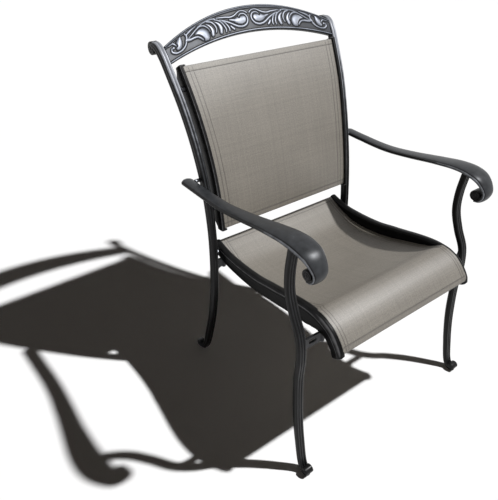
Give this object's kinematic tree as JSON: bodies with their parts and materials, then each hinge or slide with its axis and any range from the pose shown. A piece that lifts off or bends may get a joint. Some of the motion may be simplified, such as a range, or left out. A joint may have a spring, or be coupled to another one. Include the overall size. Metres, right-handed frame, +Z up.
{
  "type": "sling patio chair",
  "caption": "Patio dining armchair with woven sling seat and back stretched in slotted rails, rolled armrests, scrolled legs and an arched crest rail cast with leaf scrolls.",
  "frame": {"origin": "on the floor, at the middle of the chair's footprint, which is the bottom centre of its bounding box", "axes": "+Z up; -Y to the front of the chair; +X to the right hand of someone who faces the chair, the side that node names call right"},
  "size_m": [0.6098, 0.6436, 1.008],
  "materials": {
    "cast_frame": "charcoal powder coat with a satin sheen on cast aluminium",
    "crest": "charcoal powder coat rubbed to a pewter sheen on the cast relief",
    "rail": "dark brown-black powder coat, satin, on extruded aluminium",
    "sling": "taupe woven mesh of coated yarn, matt with a faint sheen along the yarn",
    "cord": "dark flexible cord, matt",
    "plastic": "moulded black, matt",
    "hardware": "dark plated, satin"
  },
  "bodies": {
    "root": {"back_post_right": "cast_frame", "back_post_left": "cast_frame", "front_leg_right": "cast_frame", "front_leg_left": "cast_frame", "armrest_right": "cast_frame", "armrest_left": "cast_frame", "seat_rail_right": "rail", "seat_rail_left": "rail", "back_rail_right": "rail", "back_rail_left": "rail", "seat_cord_right": "cord", "seat_cord_left": "cord", "back_cord_right": "cord", "back_cord_left": "cord", "seat_front_cap_right": "plastic", "seat_front_cap_left": "plastic", "seat_rear_cap_right": "plastic", "seat_rear_cap_left": "plastic", "back_lower_cap_right": "plastic", "back_lower_cap_left": "plastic", "back_upper_cap_right": "plastic", "back_upper_cap_left": "plastic", "front_glide_right": "plastic", "front_glide_left": "plastic", "rear_glide_right": "plastic", "rear_glide_left": "plastic", "front_bar_bolt_right": "hardware", "front_bar_bolt_left": "hardware", "rear_bar_bolt_right": "hardware", "rear_bar_bolt_left": "hardware", "lower_back_bolt_right": "hardware", "lower_back_bolt_left": "hardware", "upper_back_bolt_right": "hardware", "upper_back_bolt_left": "hardware", "seat_post_bolt_right": "hardware", "seat_post_bolt_left": "hardware", "arm_post_bolt_right": "hardware", "arm_post_bolt_left": "hardware", "crest_rail": "crest", "front_crossbar": "cast_frame", "rear_crossbar": "cast_frame", "seat_sling": "sling", "back_sling": "sling", "front_seat_spreader": "rail", "rear_seat_spreader": "rail", "lower_back_spreader": "rail", "upper_back_spreader": "rail"}
  },
  "joints": []
}
